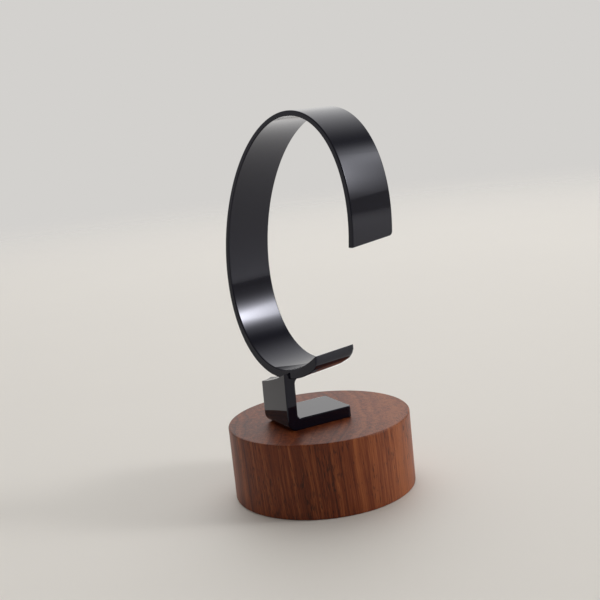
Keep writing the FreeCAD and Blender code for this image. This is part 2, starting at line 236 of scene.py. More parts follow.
def turned_mesh(name, profile, steps):
    """A profile of (radius, height) points carried once round the Z axis: x is the radius times
    the angle's cosine, and y the radius times its sine."""
    angles = np.linspace(0, 2 * math.pi, steps, endpoint=False)
    radius, height = np.array(profile).T
    x = radius[:, None] * np.cos(angles)[None, :]
    y = radius[:, None] * np.sin(angles)[None, :]
    z = np.broadcast_to(height[:, None], x.shape)
    return tube_mesh(name, np.stack([x, y, z], axis=-1))


def cylinder_mesh(name, centre, diameter, low, high):
    """An upright cylinder between two heights, its wall a circle carried up a line."""
    mesh = turned_mesh(name, [(diameter / 2, low), (diameter / 2, high)], CYLINDER_STEPS)
    mesh.transform(Matrix.Translation((centre[0], centre[1], 0)))
    return mesh


def combine(piece, others, operation):
    """Cuts other meshes from a piece, or joins them to it, and keeps the result as its mesh."""
    for mesh in others:
        tool = new_piece("tool", mesh)
        step = piece.modifiers.new(operation, "BOOLEAN")
        step.operation = operation
        step.solver = "EXACT"
        step.object = tool
        bpy.context.view_layer.update()
        shape = piece.evaluated_get(bpy.context.evaluated_depsgraph_get())
        made = bpy.data.meshes.new_from_object(shape)
        piece.modifiers.clear()
        piece.data = made
        bpy.data.objects.remove(tool)


def finish(piece, material):
    """Gives a piece its material, and smooth shading that keeps sharp edges sharp and flat faces
    flat."""
    piece.data.shade_smooth()
    piece.data.set_sharp_from_angle(angle=SHARP_ANGLE)
    step = piece.modifiers.new("flat faces stay flat", "WEIGHTED_NORMAL")
    step.mode = "FACE_AREA"
    step.weight = FACE_WEIGHT
    step.keep_sharp = True
    piece.data.materials.clear()
    piece.data.materials.append(material)


# The rounded section that the strip, the post and the foot share

CORNER_POINTS = 5  # on each quarter-round corner
NEAR_CORNER = 0.995  # one more point stands here on a straight side, as a share of its half
END_RINGS = 9  # that follow each quarter round at a cut end

# Places along a straight side, from 1 to -1: closer to its corners on the cuff, even on the foot.
CUFF_RUN = np.cos(np.linspace(0, math.pi, 15))[1:-1]
FOOT_RUN = np.linspace(1, -1, 25)[1:-1]


def rounded_section(run):
    """A rectangle with quarter-round corners, as two arrays for each direction: how far a point
    lies along the straight side, from -1 to 1, and how far out on the corner's arc, in radii. The
    run gives the points along each straight side, to which one is added close to each corner."""
    arc = np.linspace(0, math.pi / 2, CORNER_POINTS)
    run = np.concatenate([[NEAR_CORNER], run, [-NEAR_CORNER]])
    side, out = [], []
    for corner, (sx, sy) in enumerate(((1, 1), (-1, 1), (-1, -1), (1, -1))):
        angle = arc + corner * math.pi / 2
        side.append(np.tile([sx, sy], (CORNER_POINTS, 1)))
        out.append(np.stack([np.cos(angle), np.sin(angle)], axis=-1))
        if corner in (0, 2):
            side.append(np.stack([run * sy, np.full(run.size, sy)], axis=-1))
            out.append(np.tile([0, sy], (run.size, 1)))
        else:
            side.append(np.stack([np.full(run.size, sx), -run * sx], axis=-1))
            out.append(np.tile([sx, 0], (run.size, 1)))
    side, out = np.concatenate(side), np.concatenate(out)
    return side[:, 0], side[:, 1], out[:, 0], out[:, 1]


def end_distances(edge, corner):
    """Distances from a cut end at which rings are needed, to follow a quarter-round edge and a
    larger corner: the radius less the radius times the sine of even steps of a quarter turn, to
    the nanometre."""
    angle = np.linspace(math.pi / 2, 0, END_RINGS)
    rounds = [radius * (1 - np.sin(angle)) for radius in (edge, corner) if radius > 0]
    return np.unique(np.round(np.concatenate(rounds), decimals=9))


def rounding(distance, radius):
    """How far a quarter round of this radius pulls a side in, at a distance from the end: the
    radius less the root of its square less the square of what is left to the arc's start."""
    near = np.clip(radius - distance, 0, radius)
    return radius - np.sqrt(radius ** 2 - near ** 2)


def foot_frame(holder):
    """The foot's two directions in the stand's frame: across to the right, and along to the
    rear."""
    angle = -holder.foot_turn
    across = np.array([math.cos(angle), math.sin(angle)])
    along = np.array([-math.sin(angle), math.cos(angle)])
    return across, along


def boss_centres(holder):
    """Centres of the two bosses, side by side under the foot."""
    across, along = foot_frame(holder)
    sides = (holder.foot_side - holder.boss_spacing / 2,
             holder.foot_side + holder.boss_spacing / 2)
    return [side * across - holder.boss_setback * along for side in sides]


# The cuff

CUFF_RINGS = 340
RIGHT, UP = np.array([1.0, 0.0]), np.array([0.0, 1.0])  # in the XZ plane

# Angles on the ellipses, in radians: near the tip's cut, near the lip's cut, and where the swell
# towards the lip starts and ends.
TIP_ANGLE, LIP_ANGLE = 0.2, 2 * math.pi - 0.8
SWELL_START, SWELL_END = math.radians(283), math.radians(305)

# How far the strip runs for each radian, near the tip and near the lip.
TIP_SPEED, LIP_SPEED = 42 * MM, 36 * MM


class Cuff:
    """The cuff's two leaning ellipses, in the XZ plane, and the places where its strip is cut."""

    def __init__(self, holder):
        across, along = foot_frame(holder)
        corner = (holder.foot_side + holder.foot_width / 2) * across - holder.foot_front * along
        self.front, self.width = corner[1] + holder.rim_setback, holder.strip_width
        lean = holder.cuff_lean
        self.short = np.array([math.cos(lean), -math.sin(lean)])
        self.long = np.array([math.sin(lean), math.cos(lean)])
        a, b = holder.cuff_length / 2, holder.cuff_breadth / 2
        half_height = math.hypot(a * math.cos(lean), b * math.sin(lean))
        low_point = (a * a - b * b) * math.sin(lean) * math.cos(lean) / half_height
        self.centre = np.array([corner[0] - holder.rim_shift + low_point,
                                BLOCK_HIGH.z + holder.post_height + half_height])
        shift = (holder.wall_back - holder.wall_mouth) / 2 * self.short
        shift = shift + (holder.wall_root - holder.wall_crown) / 2 * self.long
        self.outer = (self.centre, a, b)
        self.inner = (self.centre + shift, a - (holder.wall_root + holder.wall_crown) / 2,
                      b - (holder.wall_back + holder.wall_mouth) / 2)

    def point(self, ellipse, angle):
        """The ellipse's centre, plus its short half times the angle's cosine, plus its long half
        times the sine."""
        centre, a, b = ellipse
        return (centre + b * np.cos(angle)[..., None] * self.short
                + a * np.sin(angle)[..., None] * self.long)

    def angle_on_line(self, ellipse, place, normal, near):
        """The angle where the ellipse meets the line through a place, square to a normal: of the
        two solutions of A cos + B sin = C, the one nearer to a given angle."""
        centre, a, b = ellipse
        cosine, sine = b * (self.short @ normal), a * (self.long @ normal)
        level = (place - centre) @ normal
        middle = math.atan2(sine, cosine)
        spread = np.arccos(np.clip(level / math.hypot(cosine, sine), -1, 1))
        first, second = (angle + 2 * math.pi * np.round((near - angle) / (2 * math.pi))
                         for angle in (middle + spread, middle - spread))
        return np.where(abs(first - near) < abs(second - near), first, second)


def cuff_mesh(holder):
    """The cuff: a rounded section carried round the C, from the upper tip over the crown to the
    lower lip. A point lies between the inner and the outer ellipse by its share of the wall, and
    both ellipses are walked at a steady angle between the two cuts. Towards the lip the outside
    moves out by the swell, a smooth step of the angle, and in by a quarter round along the end
    and along the rear rim."""
    cuff = Cuff(holder)
    side_wall, side_width, out_wall, out_width = rounded_section(CUFF_RUN)
    edge, corner = holder.edge, holder.tip_corner
    ends = end_distances(edge, corner)
    lip_ends = np.union1d(end_distances(edge, holder.lip_corner),
                          end_distances(edge, holder.lip_round))
    lip_place = cuff.centre + np.array([holder.lip_reach, 0])

    def lip_angle(ellipse):
        """Where the lower lip's plumb cut meets an ellipse."""
        return float(cuff.angle_on_line(ellipse, lip_place, RIGHT, LIP_ANGLE))

    def tip_angle(ellipse, y):
        """Where the upper tip's slanting cut meets an ellipse, for points this far to the
        rear."""
        rise = holder.tip_rise + (y - cuff.front - cuff.width / 2) * math.tan(holder.tip_slant)
        place = cuff.centre + np.stack([np.zeros_like(rise), rise], axis=-1)
        return cuff.angle_on_line(ellipse, place, UP, TIP_ANGLE)

    # Rings by their share of the way, even in the middle and closer at the two rounded ends.
    span = lip_angle(cuff.outer) - TIP_ANGLE
    start, stop = ends / (TIP_SPEED * span), 1 - lip_ends / (LIP_SPEED * span)
    share = np.linspace(0, 1, CUFF_RINGS)
    share = share[(share > start[-1]) & (share < stop.min())]
    share = np.unique(np.concatenate([start, share, stop]))[:, None]
    from_tip, from_lip = share * span * TIP_SPEED, (1 - share) * span * LIP_SPEED
    inset = rounding(from_tip, edge) + rounding(from_lip, edge)

    # Across the strip, between its front and rear rims.
    lip_corner = rounding(from_lip, holder.lip_corner)
    front = cuff.front + lip_corner
    rear = cuff.front + cuff.width - rounding(from_tip, corner) - lip_corner
    middle, half_width = (rear + front) / 2, (rear - front) / 2
    y = middle + side_width * (half_width - edge) + out_width * (edge - inset)

    # Through the wall, between the two ellipses.
    angle_out = tip_angle(cuff.outer, y) * (1 - share) + lip_angle(cuff.outer) * share
    angle_in = tip_angle(cuff.inner, y) * (1 - share) + lip_angle(cuff.inner) * share
    outside, inside = cuff.point(cuff.outer, angle_out), cuff.point(cuff.inner, angle_in)
    swell = np.clip((angle_out - SWELL_START) / (SWELL_END - SWELL_START), 0, 1)
    swell = swell ** 2 * (3 - 2 * swell)
    under = rounding(from_lip, holder.lip_round) + swell * rounding(rear - y, holder.lip_round)
    swell = holder.lip_swell * swell - np.minimum(under, holder.lip_round)
    outward = outside - inside
    outward = outward / np.linalg.norm(outward, axis=-1, keepdims=True)
    outside = outside + outward * swell[..., None]
    wall = np.linalg.norm(outside - inside, axis=-1)
    depth = side_wall * (wall / 2 - edge) + out_wall * (edge - inset)
    part = (0.5 + depth / wall)[..., None]
    xz = inside * (1 - part) + outside * part
    return tube_mesh("cuff", np.stack([xz[..., 0], y, xz[..., 1]], axis=-1))


# The post and the foot

POST_RINGS, BEND_RINGS, FOOT_RINGS = 40, 61, 30
LID_RINGS = np.array([0, 0.25, 0.5, 0.75])[:, None]  # from the top's middle line to its rim
SADDLE_POWER = 2.5  # of the share of the post's thickness, by which its top rises to the rear
SADDLE_LEVEL = 3 / 4  # how deep into the strip's wall the post's top may rise, as a share of it
LEAN_TOP = 1.2  # the lean goes on above the cuff's lowest line to this share of the post


def foot_mesh(holder):
    """Post and foot: the same rounded section carried down the post, round the heel and out along
    the foot. The outside runs down the front and along the underside, the inside down the back
    and along the top. The post's top follows a hollow arc across its width, and its back flares
    out by a quarter round where it meets the strip."""
    across, along = foot_frame(holder)
    side_wall, side_width, out_wall, out_width = rounded_section(FOOT_RUN)
    edge, floor = holder.edge, BLOCK_HIGH.z
    front, back = -holder.foot_front, holder.post_thickness - holder.foot_front
    rear = holder.foot_length - holder.foot_front
    bend_top = holder.foot_thickness + holder.instep_radius
    bend_rear = back + holder.instep_radius
    half_width = holder.foot_width / 2
    inner_top = holder.post_height + SADDLE_LEVEL * holder.wall_root

    def saddle(x, y):
        """Height of the hollow top: a circle through its two ends, below their chord, that rises
        ever more steeply to the rear, up to a level inside the strip."""
        left, right = holder.foot_side - half_width, holder.foot_side + half_width
        low = holder.post_height - holder.post_slope
        high = holder.post_height + holder.post_overlap
        run, rise = right - left, high - low
        chord, radius = math.hypot(run, rise), holder.saddle_radius
        reach = math.sqrt(radius ** 2 - chord ** 2 / 4)
        centre_x = (left + right) / 2 - rise / chord * reach
        centre_z = (low + high) / 2 + run / chord * reach
        share = np.maximum(y - front, 0) / holder.post_thickness
        rise = holder.post_thickness * math.tan(holder.saddle_rise) * share ** SADDLE_POWER
        return np.minimum(centre_z - np.sqrt(radius ** 2 - (x - centre_x) ** 2) + rise, inner_top)

    # The post, by distance below its top, then by share of what is left above the bend.
    post_ends = end_distances(edge, 0)
    x_post = holder.foot_side + side_width * (half_width - edge) + out_width * edge
    y_post = (front + holder.post_thickness / 2
              - side_wall * (holder.post_thickness / 2 - edge) - out_wall * edge)
    top = saddle(x_post, y_post)[None, :]
    share = np.linspace(0, 1, POST_RINGS)[1:-1][:, None]
    tail = post_ends[-1] + share * (top - post_ends[-1] - bend_top)
    head = np.broadcast_to(post_ends[:, None], (post_ends.size, top.size))
    below = np.concatenate([head, tail])
    inset = rounding(below, edge)
    x_top = holder.foot_side + side_width * (half_width - edge) + out_width * (edge - inset)
    height = saddle(x_top, y_post + out_wall * inset) - below
    wall = holder.post_thickness + rounding(holder.post_height - height, holder.junction_radius)
    depth = wall / 2 - side_wall * (wall / 2 - edge) - out_wall * (edge - inset)
    post = (x_top, front + depth, height)

    # The post's top, by rings that open from a shorter line along its middle out to its rim.
    rim_x, rim_y = x_top[0], front + depth[0]
    line_x = holder.foot_side + (rim_x - holder.foot_side) * (
        1 - holder.post_thickness / holder.foot_width)
    line_y = front + holder.post_thickness / 2
    lid_x, lid_y = line_x + (rim_x - line_x) * LID_RINGS, line_y + (rim_y - line_y) * LID_RINGS
    lid = (lid_x, lid_y, saddle(lid_x, lid_y))

    # The bend, by share of its turn: an arc inside, and a line, an arc and a line outside.
    share = np.linspace(0, 1, BEND_RINGS)
    angle = share * math.pi / 2
    inside = np.stack([bend_rear - holder.instep_radius * np.cos(angle),
                       bend_top - holder.instep_radius * np.sin(angle)], axis=-1)
    drop, quarter = bend_top - holder.heel_radius, holder.heel_radius * math.pi / 2
    level = bend_rear - front - holder.heel_radius
    walked = share * (drop + quarter + level)
    angle = np.clip((walked - drop) / holder.heel_radius, 0, math.pi / 2)
    outside = np.stack([
        (front + holder.heel_radius * (1 - np.cos(angle))
         + np.clip(walked - drop - quarter, 0, level)),
        bend_top - np.clip(walked, 0, drop) - holder.heel_radius * np.sin(angle)], axis=-1)
    wall = np.linalg.norm(inside - outside, axis=-1)[:, None]
    depth = wall / 2 + side_wall * (wall / 2 - edge) + out_wall * edge
    part = (1 - depth / wall)[..., None]
    bend_yz = outside[:, None, :] * (1 - part) + inside[:, None, :] * part
    bend_x = np.broadcast_to(x_post, bend_yz.shape[:2])

    # The foot, by place along it, with its two far corners rounded in plan.
    toe_ends = end_distances(edge, holder.foot_corner)
    run = np.linspace(bend_rear, rear - toe_ends[-1], FOOT_RINGS)[1:]
    place = np.concatenate([run, rear - toe_ends[::-1][1:]])[:, None]
    inset, pulled = rounding(rear - place, edge), rounding(rear - place, holder.foot_corner)
    wall = holder.foot_thickness
    foot_x = (holder.foot_side + side_width * (half_width - edge - pulled)
              + out_width * (edge - inset))
    foot_z = wall / 2 - side_wall * (wall / 2 - edge) - out_wall * (edge - inset)
    foot = (foot_x, np.broadcast_to(place, foot_x.shape), foot_z)

    x = np.concatenate([lid[0], post[0], bend_x, foot[0]])
    y = np.concatenate([lid[1], post[1], bend_yz[..., 0], foot[1]])
    z = np.concatenate([lid[2], post[2], bend_yz[..., 1], foot[2]]) + floor
    lean = np.clip((z - floor - bend_top) / (holder.post_height - bend_top), 0, LEAN_TOP)
    x = x + holder.post_lean * lean
    flat = x[..., None] * across + y[..., None] * along
    return tube_mesh("foot", np.concatenate([flat, z[..., None]], axis=-1), folded=True)


# Materials

def linear(code):
    """A linear colour with alpha from an sRGB hex code."""
    parts = [int(code[k:k + 2], 16) / 255 for k in (1, 3, 5)]
    return [c / 12.92 if c <= 0.04045 else ((c + 0.055) / 1.055) ** 2.4 for c in parts] + [1.0]


def add_node(tree, kind, settings=None, stops=(), **inputs):
    """Adds a node and returns its outputs. Settings are its properties, and stops a ramp's places
    and linear colours. An input is given by its name, with _ for a space, or as i and its number,
    and takes a value or another node's socket."""
    node = tree.nodes.new(kind)
    for key, value in (settings or {}).items():
        setattr(node, key, value)
    for key, value in inputs.items():
        numbered = key[0] == "i" and key[1:].isdigit()
        socket = node.inputs[int(key[1:]) if numbered else key.replace("_", " ")]
        if isinstance(value, bpy.types.NodeSocket):
            tree.links.new(value, socket)
        else:
            socket.default_value = value
    if stops:
        elements = node.color_ramp.elements
        while len(elements) < len(stops):
            elements.new(1.0)
        for element, (place, shade) in zip(elements, stops):
            element.position = place
            element.color = shade
    return node.outputs


def new_material(name):
    """A material with an empty node tree."""
    material = bpy.data.materials.new(name)
    material.use_nodes = True
    material.node_tree.nodes.clear()
    return material, material.node_tree


def feature_scale(across, along):
    """The scale that makes one unit of a feature's real width across the grain and of its real
    length along it, both in millimetres."""
    return (1 / (across * MM), 1 / (across * MM), 1 / (along * MM))


def oiled_walnut(block):
    """Black walnut, turned, sanded fine and oiled: the growth rings cross the top as faint arcs
    and run down the side as streaks, with short dark pores along the grain. The oil leaves a thin
    satin sheen at a low angle."""
    material, tree = new_material("oiled black walnut")

    # The grain leans off the block's axis by 1.5 degrees each way, and wanders by 2 mm in bends
    # that are 22 mm across the grain and 110 mm along it.
    place = add_node(tree, "ShaderNodeTexCoord")["Object"]
    place = add_node(tree, "ShaderNodeMapping", Vector=place,
                     Rotation=(math.radians(-1.5), math.radians(1.5), 0))["Vector"]
    bends = add_node(tree, "ShaderNodeMapping", Vector=place,
                     Scale=feature_scale(22, 110))["Vector"]
    wander = add_node(tree, "ShaderNodeTexNoise", Vector=bends, Scale=1.0, Detail=2.0)["Color"]
    wander = add_node(tree, "ShaderNodeVectorMath", {"operation": "SCALE"},
                      i0=wander, Scale=8 * MM)[0]
    grain = add_node(tree, "ShaderNodeVectorMath", {"operation": "ADD"}, i0=place, i1=wander)[0]

    # Rings round the trunk's heart, 106 mm off to the front left, 3.3 mm apart. Each ends in late
    # wood of uneven strength, and broad bands lie over them.
    centred = add_node(tree, "ShaderNodeMapping", Vector=grain,
                       Location=(70 * MM, 80 * MM, 0), Scale=(1, 1, 0))["Vector"]
    distance = add_node(tree, "ShaderNodeVectorMath", {"operation": "LENGTH"},
                        i0=centred)["Value"]
    ring = add_node(tree, "ShaderNodeMath", {"operation": "DIVIDE"},
                    i0=distance, i1=3.3 * MM)[0]
    over_rings = add_node(tree, "ShaderNodeCombineXYZ", X=ring)[0]
    bands = add_node(tree, "ShaderNodeTexNoise", Vector=over_rings,
                     Scale=0.9, Detail=2.0, Roughness=0.6)["Fac"]
    strength = add_node(tree, "ShaderNodeTexNoise", Vector=over_rings,
                        Scale=0.37, Detail=1.0)["Fac"]
    strength = add_node(tree, "ShaderNodeMapRange", Value=strength,
                        From_Min=0.4, From_Max=0.62)[0]
    late = add_node(tree, "ShaderNodeMath", {"operation": "FRACT"}, i0=ring)[0]
    late = add_node(tree, "ShaderNodeMath", {"operation": "POWER"}, i0=late, i1=7.0)[0]
    late = add_node(tree, "ShaderNodeMath", {"operation": "MULTIPLY"}, i0=late, i1=strength)[0]

    # Painted light: the wood is made paler towards the right as the camera sees it, where the key
    # lamp falls, so that this side looks more lit.
    painted_light_right = add_node(tree, "ShaderNodeVectorMath", {"operation": "DOT_PRODUCT"},
                   i0=grain, i1=(0.68, 0.73, 0))["Value"]
    painted_light_right = add_node(tree, "ShaderNodeMapRange", {"interpolation_type": "SMOOTHSTEP"},
                   Value=painted_light_right, From_Min=8 * MM, From_Max=36 * MM, To_Max=0.16)[0]

    # What runs along the grain, by width and length in millimetres, detail and roughness.
    runs = []
    for across, along, detail, roughness in (
        (1.1, 60, 2.0, 0.5),  # streaks
        (0.3, 12, 2.0, 0.6),  # fibres
        (0.34, 2.6, 1.0, 0.4),  # flecks, whose cores are the pores
        (9, 30, 1.0, 0.5),  # patches where the pores crowd
    ):
        scaled = add_node(tree, "ShaderNodeMapping", Vector=grain,
                          Scale=feature_scale(across, along))["Vector"]
        runs.append(add_node(tree, "ShaderNodeTexNoise", Vector=scaled,
                             Scale=1.0, Detail=detail, Roughness=roughness)["Fac"])
    streaks, fibres, flecks, patches = runs

    # The tone is a level, to which each pattern adds by its weight.
    tone = -0.25
    # The last pattern is painted light that makes the camera's right side of the block paler.
    for pattern, weight in (
            (bands, 0.55), (streaks, 0.45), (fibres, 0.5), (late, -0.26), (painted_light_right, 1.0)):
        tone = add_node(tree, "ShaderNodeMath", {"operation": "MULTIPLY_ADD"},
                        i0=pattern, i1=weight, i2=tone)[0]
    wood = add_node(tree, "ShaderNodeValToRGB", i0=tone, stops=(
        (0.28, linear(block.walnut_dark)), (0.47, linear(block.walnut_mid)),
        (0.72, linear(block.walnut_light))))["Color"]

    # Pores: dark flecks 0.25 mm wide and 1 to 4 mm long, crowded in some places and rare in
    # others, and a little sunk between the fibres.
    least = add_node(tree, "ShaderNodeMapRange", Value=patches,
                     From_Min=0.35, From_Max=0.65, To_Min=0.70, To_Max=0.56)[0]
    pores = add_node(tree, "ShaderNodeMath", {"operation": "SUBTRACT"}, i0=flecks, i1=least)[0]
    pores = add_node(tree, "ShaderNodeMapRange", Value=pores, From_Min=0.0, From_Max=0.06)[0]
    filled = add_node(tree, "ShaderNodeMath", {"operation": "MULTIPLY"}, i0=pores, i1=0.7)[0]
    wood = add_node(tree, "ShaderNodeMix", {"data_type": "RGBA"},
                    i0=filled, i6=wood, i7=linear(block.walnut_pore))[2]
    relief = add_node(tree, "ShaderNodeMath", {"operation": "SUBTRACT"}, i0=fibres, i1=pores)[0]
    bump = add_node(tree, "ShaderNodeBump", Height=relief,
                    Strength=0.3, Distance=0.03 * MM)["Normal"]
    shader = add_node(tree, "ShaderNodeBsdfPrincipled", Base_Color=wood, Roughness=0.45,
                      IOR=1.5, Specular_IOR_Level=0.25, Normal=bump)[0]
    add_node(tree, "ShaderNodeOutputMaterial", Surface=shader)
    return material


def moulded_acrylic(holder):
    """Black acrylic, moulded in a polished tool: near-black, with mirror-like reflections that are
    a trace bluer than the room and waver a little where the wall cooled, and a few faint wipe
    marks."""
    material, tree = new_material("moulded gloss black acrylic")
    place = add_node(tree, "ShaderNodeTexCoord")["Object"]
    # The moulded skin's slow waviness, 12 mm from crest to crest.
    slow = add_node(tree, "ShaderNodeTexNoise", Vector=place,
                    Scale=1 / (12 * MM), Detail=1.0)["Fac"]
    bump = add_node(tree, "ShaderNodeBump", Height=slow,
                    Strength=0.08, Distance=0.1 * MM)["Normal"]
    # Wipe marks: patches 5 mm across that are a little less sharp.
    wiped = add_node(tree, "ShaderNodeTexNoise", Vector=place,
                     Scale=1 / (5 * MM), Detail=4.0)["Fac"]
    rough = add_node(tree, "ShaderNodeMapRange", Value=wiped,
                     From_Min=0.35, From_Max=0.75, To_Min=0.035, To_Max=0.07)[0]
    shader = add_node(tree, "ShaderNodeBsdfPrincipled", Base_Color=linear(holder.plastic),
                      Roughness=rough, IOR=1.47, Specular_Tint=linear(holder.plastic_sheen),
                      Normal=bump)[0]
    add_node(tree, "ShaderNodeOutputMaterial", Surface=shader)
    return material


def plated_steel(screws):
    """Zinc-plated steel, turned and tumbled bright: a soft metal shine with faint turning
    marks."""
    material, tree = new_material("zinc-plated steel")
    place = add_node(tree, "ShaderNodeTexCoord")["Object"]
    # Turning marks 0.9 mm apart up the screw, coarser than real ones so that they show. The
    # texture's own period is 0.31 of a unit.
    marks = add_node(tree, "ShaderNodeTexWave", {"wave_type": "BANDS", "bands_direction": "Z"},
                     Vector=place, Scale=1 / (3 * MM), Distortion=1.5, Detail=2.0)["Fac"]
    rough = add_node(tree, "ShaderNodeMapRange", Value=marks, To_Min=0.24, To_Max=0.34)[0]
    shader = add_node(tree, "ShaderNodeBsdfPrincipled", Base_Color=linear(screws.steel),
                      Metallic=1.0, Roughness=rough)[0]
    add_node(tree, "ShaderNodeOutputMaterial", Surface=shader)
    return material


def painted_floor(stage):
    """Matt pale paint on a smooth board, rolled on: even, with a barely seen mottle. It fades
    into the room with the distance from the stand."""
    material, tree = new_material("matt pale paint")
    place = add_node(tree, "ShaderNodeTexCoord")["Object"]
    # Mottling in patches 60 mm across.
    mottle = add_node(tree, "ShaderNodeTexNoise", Vector=place,
                      Scale=1 / (60 * MM), Detail=2.0)["Fac"]
    mottle = add_node(tree, "ShaderNodeMapRange", Value=mottle, To_Min=0.985, To_Max=1.0)[0]
    tone = add_node(tree, "ShaderNodeMix", {"data_type": "RGBA", "blend_type": "MULTIPLY"},
                    i0=1.0, i6=linear(stage.floor), i7=mottle)[2]
    paint = add_node(tree, "ShaderNodeBsdfPrincipled", Base_Color=tone, Roughness=0.6)[0]
    clear = add_node(tree, "ShaderNodeBsdfTransparent")[0]
    out = add_node(tree, "ShaderNodeVectorMath", {"operation": "LENGTH"}, i0=place)["Value"]
    fade = add_node(tree, "ShaderNodeMapRange", {"interpolation_type": "SMOOTHSTEP"},
                    Value=out, From_Min=FADE_START, From_Max=FADE_END)[0]
    mixed = add_node(tree, "ShaderNodeMixShader", i0=fade, i1=paint, i2=clear)[0]
    add_node(tree, "ShaderNodeOutputMaterial", Surface=mixed)
    return material


# Pieces

class WATCHSTAND_OT_block(Operator):
    """The turned walnut block, with its sockets on top and its counterbored screw holes below"""
    bl_idname = "watch_stand.block"
    bl_label = "Walnut block"

    def execute(self, context):
        block, holder = context.scene.watch_stand_block, context.scene.watch_stand_holder
        radius, height, edge = BLOCK_HIGH.x, BLOCK_HIGH.z, block.edge
        flat = radius * BLOCK_FLAT_RINGS
        angle = np.linspace(0, math.pi / 2, BLOCK_EDGE_POINTS)
        profile = np.concatenate([
            np.stack([flat, np.zeros_like(flat)], axis=-1),
            np.stack([radius - edge + edge * np.sin(angle),
                      edge - edge * np.cos(angle)], axis=-1),
            np.stack([radius - edge + edge * np.cos(angle),
                      height - edge + edge * np.sin(angle)], axis=-1),
            np.stack([flat, np.full_like(flat, height)], axis=-1)[::-1]])
        piece = new_piece("walnut_block", turned_mesh("walnut_block", profile, BLOCK_STEPS))
        holes = (
            ("counterbore", block.counterbore_diameter, -height, block.counterbore_depth),
            ("screw_hole", block.screw_hole, -height, 2 * height),
            ("socket", block.socket_diameter, height - block.socket_depth, 2 * height),
        )
        cuts = [cylinder_mesh(name, centre, diameter, low, high)
                for centre in boss_centres(holder) for name, diameter, low, high in holes]
        combine(piece, cuts, "DIFFERENCE")
        finish(piece, oiled_walnut(block))
        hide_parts("base")
        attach(piece, "root")
        return {"FINISHED"}


class WATCHSTAND_OT_holder(Operator):
    """The moulded holder: cuff, post and foot in one piece, with the two bosses under the foot"""
    bl_idname = "watch_stand.holder"
    bl_label = "Watch holder"

    def execute(self, context):
        holder = context.scene.watch_stand_holder
        piece = new_piece("moulded_holder", foot_mesh(holder))
        low = BLOCK_HIGH.z - holder.boss_length
        high = BLOCK_HIGH.z + holder.foot_thickness / 2
        bosses = [cylinder_mesh("boss", centre, holder.boss_diameter, low, high)
                  for centre in boss_centres(holder)]
        combine(piece, [cuff_mesh(holder)] + bosses, "UNION")
        finish(piece, moulded_acrylic(holder))
        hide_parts("watch_holder")
        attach(piece, "root")
        return {"FINISHED"}


class WATCHSTAND_OT_screws(Operator):
    """The two screws under the block, which keep their own shape and get their finish"""
    bl_idname = "watch_stand.screws"
    bl_label = "Fixing screws"

    def execute(self, context):
        material = plated_steel(context.scene.watch_stand_screws)
        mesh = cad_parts["fixing_screws"].data
        if not mesh.materials:
            mesh.materials.append(material)
        for slot in range(len(mesh.materials)):
            mesh.materials[slot] = material
        return {"FINISHED"}


# Stage

FLOOR_REACH = 1.5  # from the stand to the floor's edge, in metres
FADE_START, FADE_END = 0.5, 1.4  # from the stand to where the floor starts to fade and is gone
CAMERA_NEAR, CAMERA_FAR = 0.01, 20.0  # what lies between them is shown, in metres
LAMP_CUT = 100  # a lamp ends where its light has fallen to one part in this many


def from_view(stage, right, away, up):
    """A point given by how far it lies right, away and up, as the camera sees the block's
    foot."""
    heading = stage.camera_heading
    x = right * math.cos(heading) - away * math.sin(heading)
    y = right * math.sin(heading) + away * math.cos(heading)
    return Vector((x, y, up))


def soft_lamp(name, place, aim, fade, steepness, strength, roll=0.0):
    """A lamp behind a diffuser, turned to face its aim. Its light falls off from the middle as
    exp(-(x/a)^k - (y/b)^k), with a and b the two fades in metres and k the steepness."""
    lamp = bpy.data.lights.new(name, "AREA")
    lamp.shape = "RECTANGLE"
    cut = math.log(LAMP_CUT) ** (1 / steepness)
    lamp.size, lamp.size_y = 2 * cut * fade[0], 2 * cut * fade[1]
    lamp.energy = strength * lamp.size * lamp.size_y * math.pi
    lamp.use_nodes = True
    tree = lamp.node_tree
    tree.nodes.clear()
    local = add_node(tree, "ShaderNodeTexCoord")["Object"]
    local = add_node(tree, "ShaderNodeMapping", Vector=local,
                     Scale=(1 / fade[0], 1 / fade[1], 0))["Vector"]
    local = add_node(tree, "ShaderNodeVectorMath", {"operation": "ABSOLUTE"}, i0=local)[0]
    parts = add_node(tree, "ShaderNodeSeparateXYZ", i0=local)
    powers = [add_node(tree, "ShaderNodeMath", {"operation": "POWER"},
                       i0=part, i1=steepness)[0] for part in (parts[0], parts[1])]
    total = add_node(tree, "ShaderNodeMath", {"operation": "ADD"}, i0=powers[0], i1=powers[1])[0]
    level = add_node(tree, "ShaderNodeMath", {"operation": "POWER"}, i0=1 / math.e, i1=total)[0]
    glow = add_node(tree, "ShaderNodeEmission", Strength=level)[0]
    add_node(tree, "ShaderNodeOutputLight", Surface=glow)
    made = new_piece(name, lamp)
    facing = (aim - place).to_track_quat("-Z", "Y").to_matrix().to_4x4()
    made.matrix_world = Matrix.Translation(place) @ facing @ Matrix.Rotation(roll, 4, "Z")
    made.visible_camera = False


def distant_lamp(name, stage, azimuth, elevation, reach, fade, steepness, strength, roll=0.0):
    """A soft lamp seen from the stand's middle at an azimuth, from straight away round to the
    right, and an elevation, at a reach in metres. Its fades are the angles that they take up, and
    all angles are in degrees."""
    aim = Vector((0, 0, CAD_BOX[1][2] / 2))
    azimuth, elevation = math.radians(azimuth), math.radians(elevation)
    level = reach * math.cos(elevation)
    place = from_view(stage, right=level * math.sin(azimuth), away=level * math.cos(azimuth),
                      up=aim.z + reach * math.sin(elevation))
    fades = [math.tan(math.radians(side)) * reach for side in fade]
    soft_lamp(name, place, aim, fades, steepness, strength, math.radians(roll))


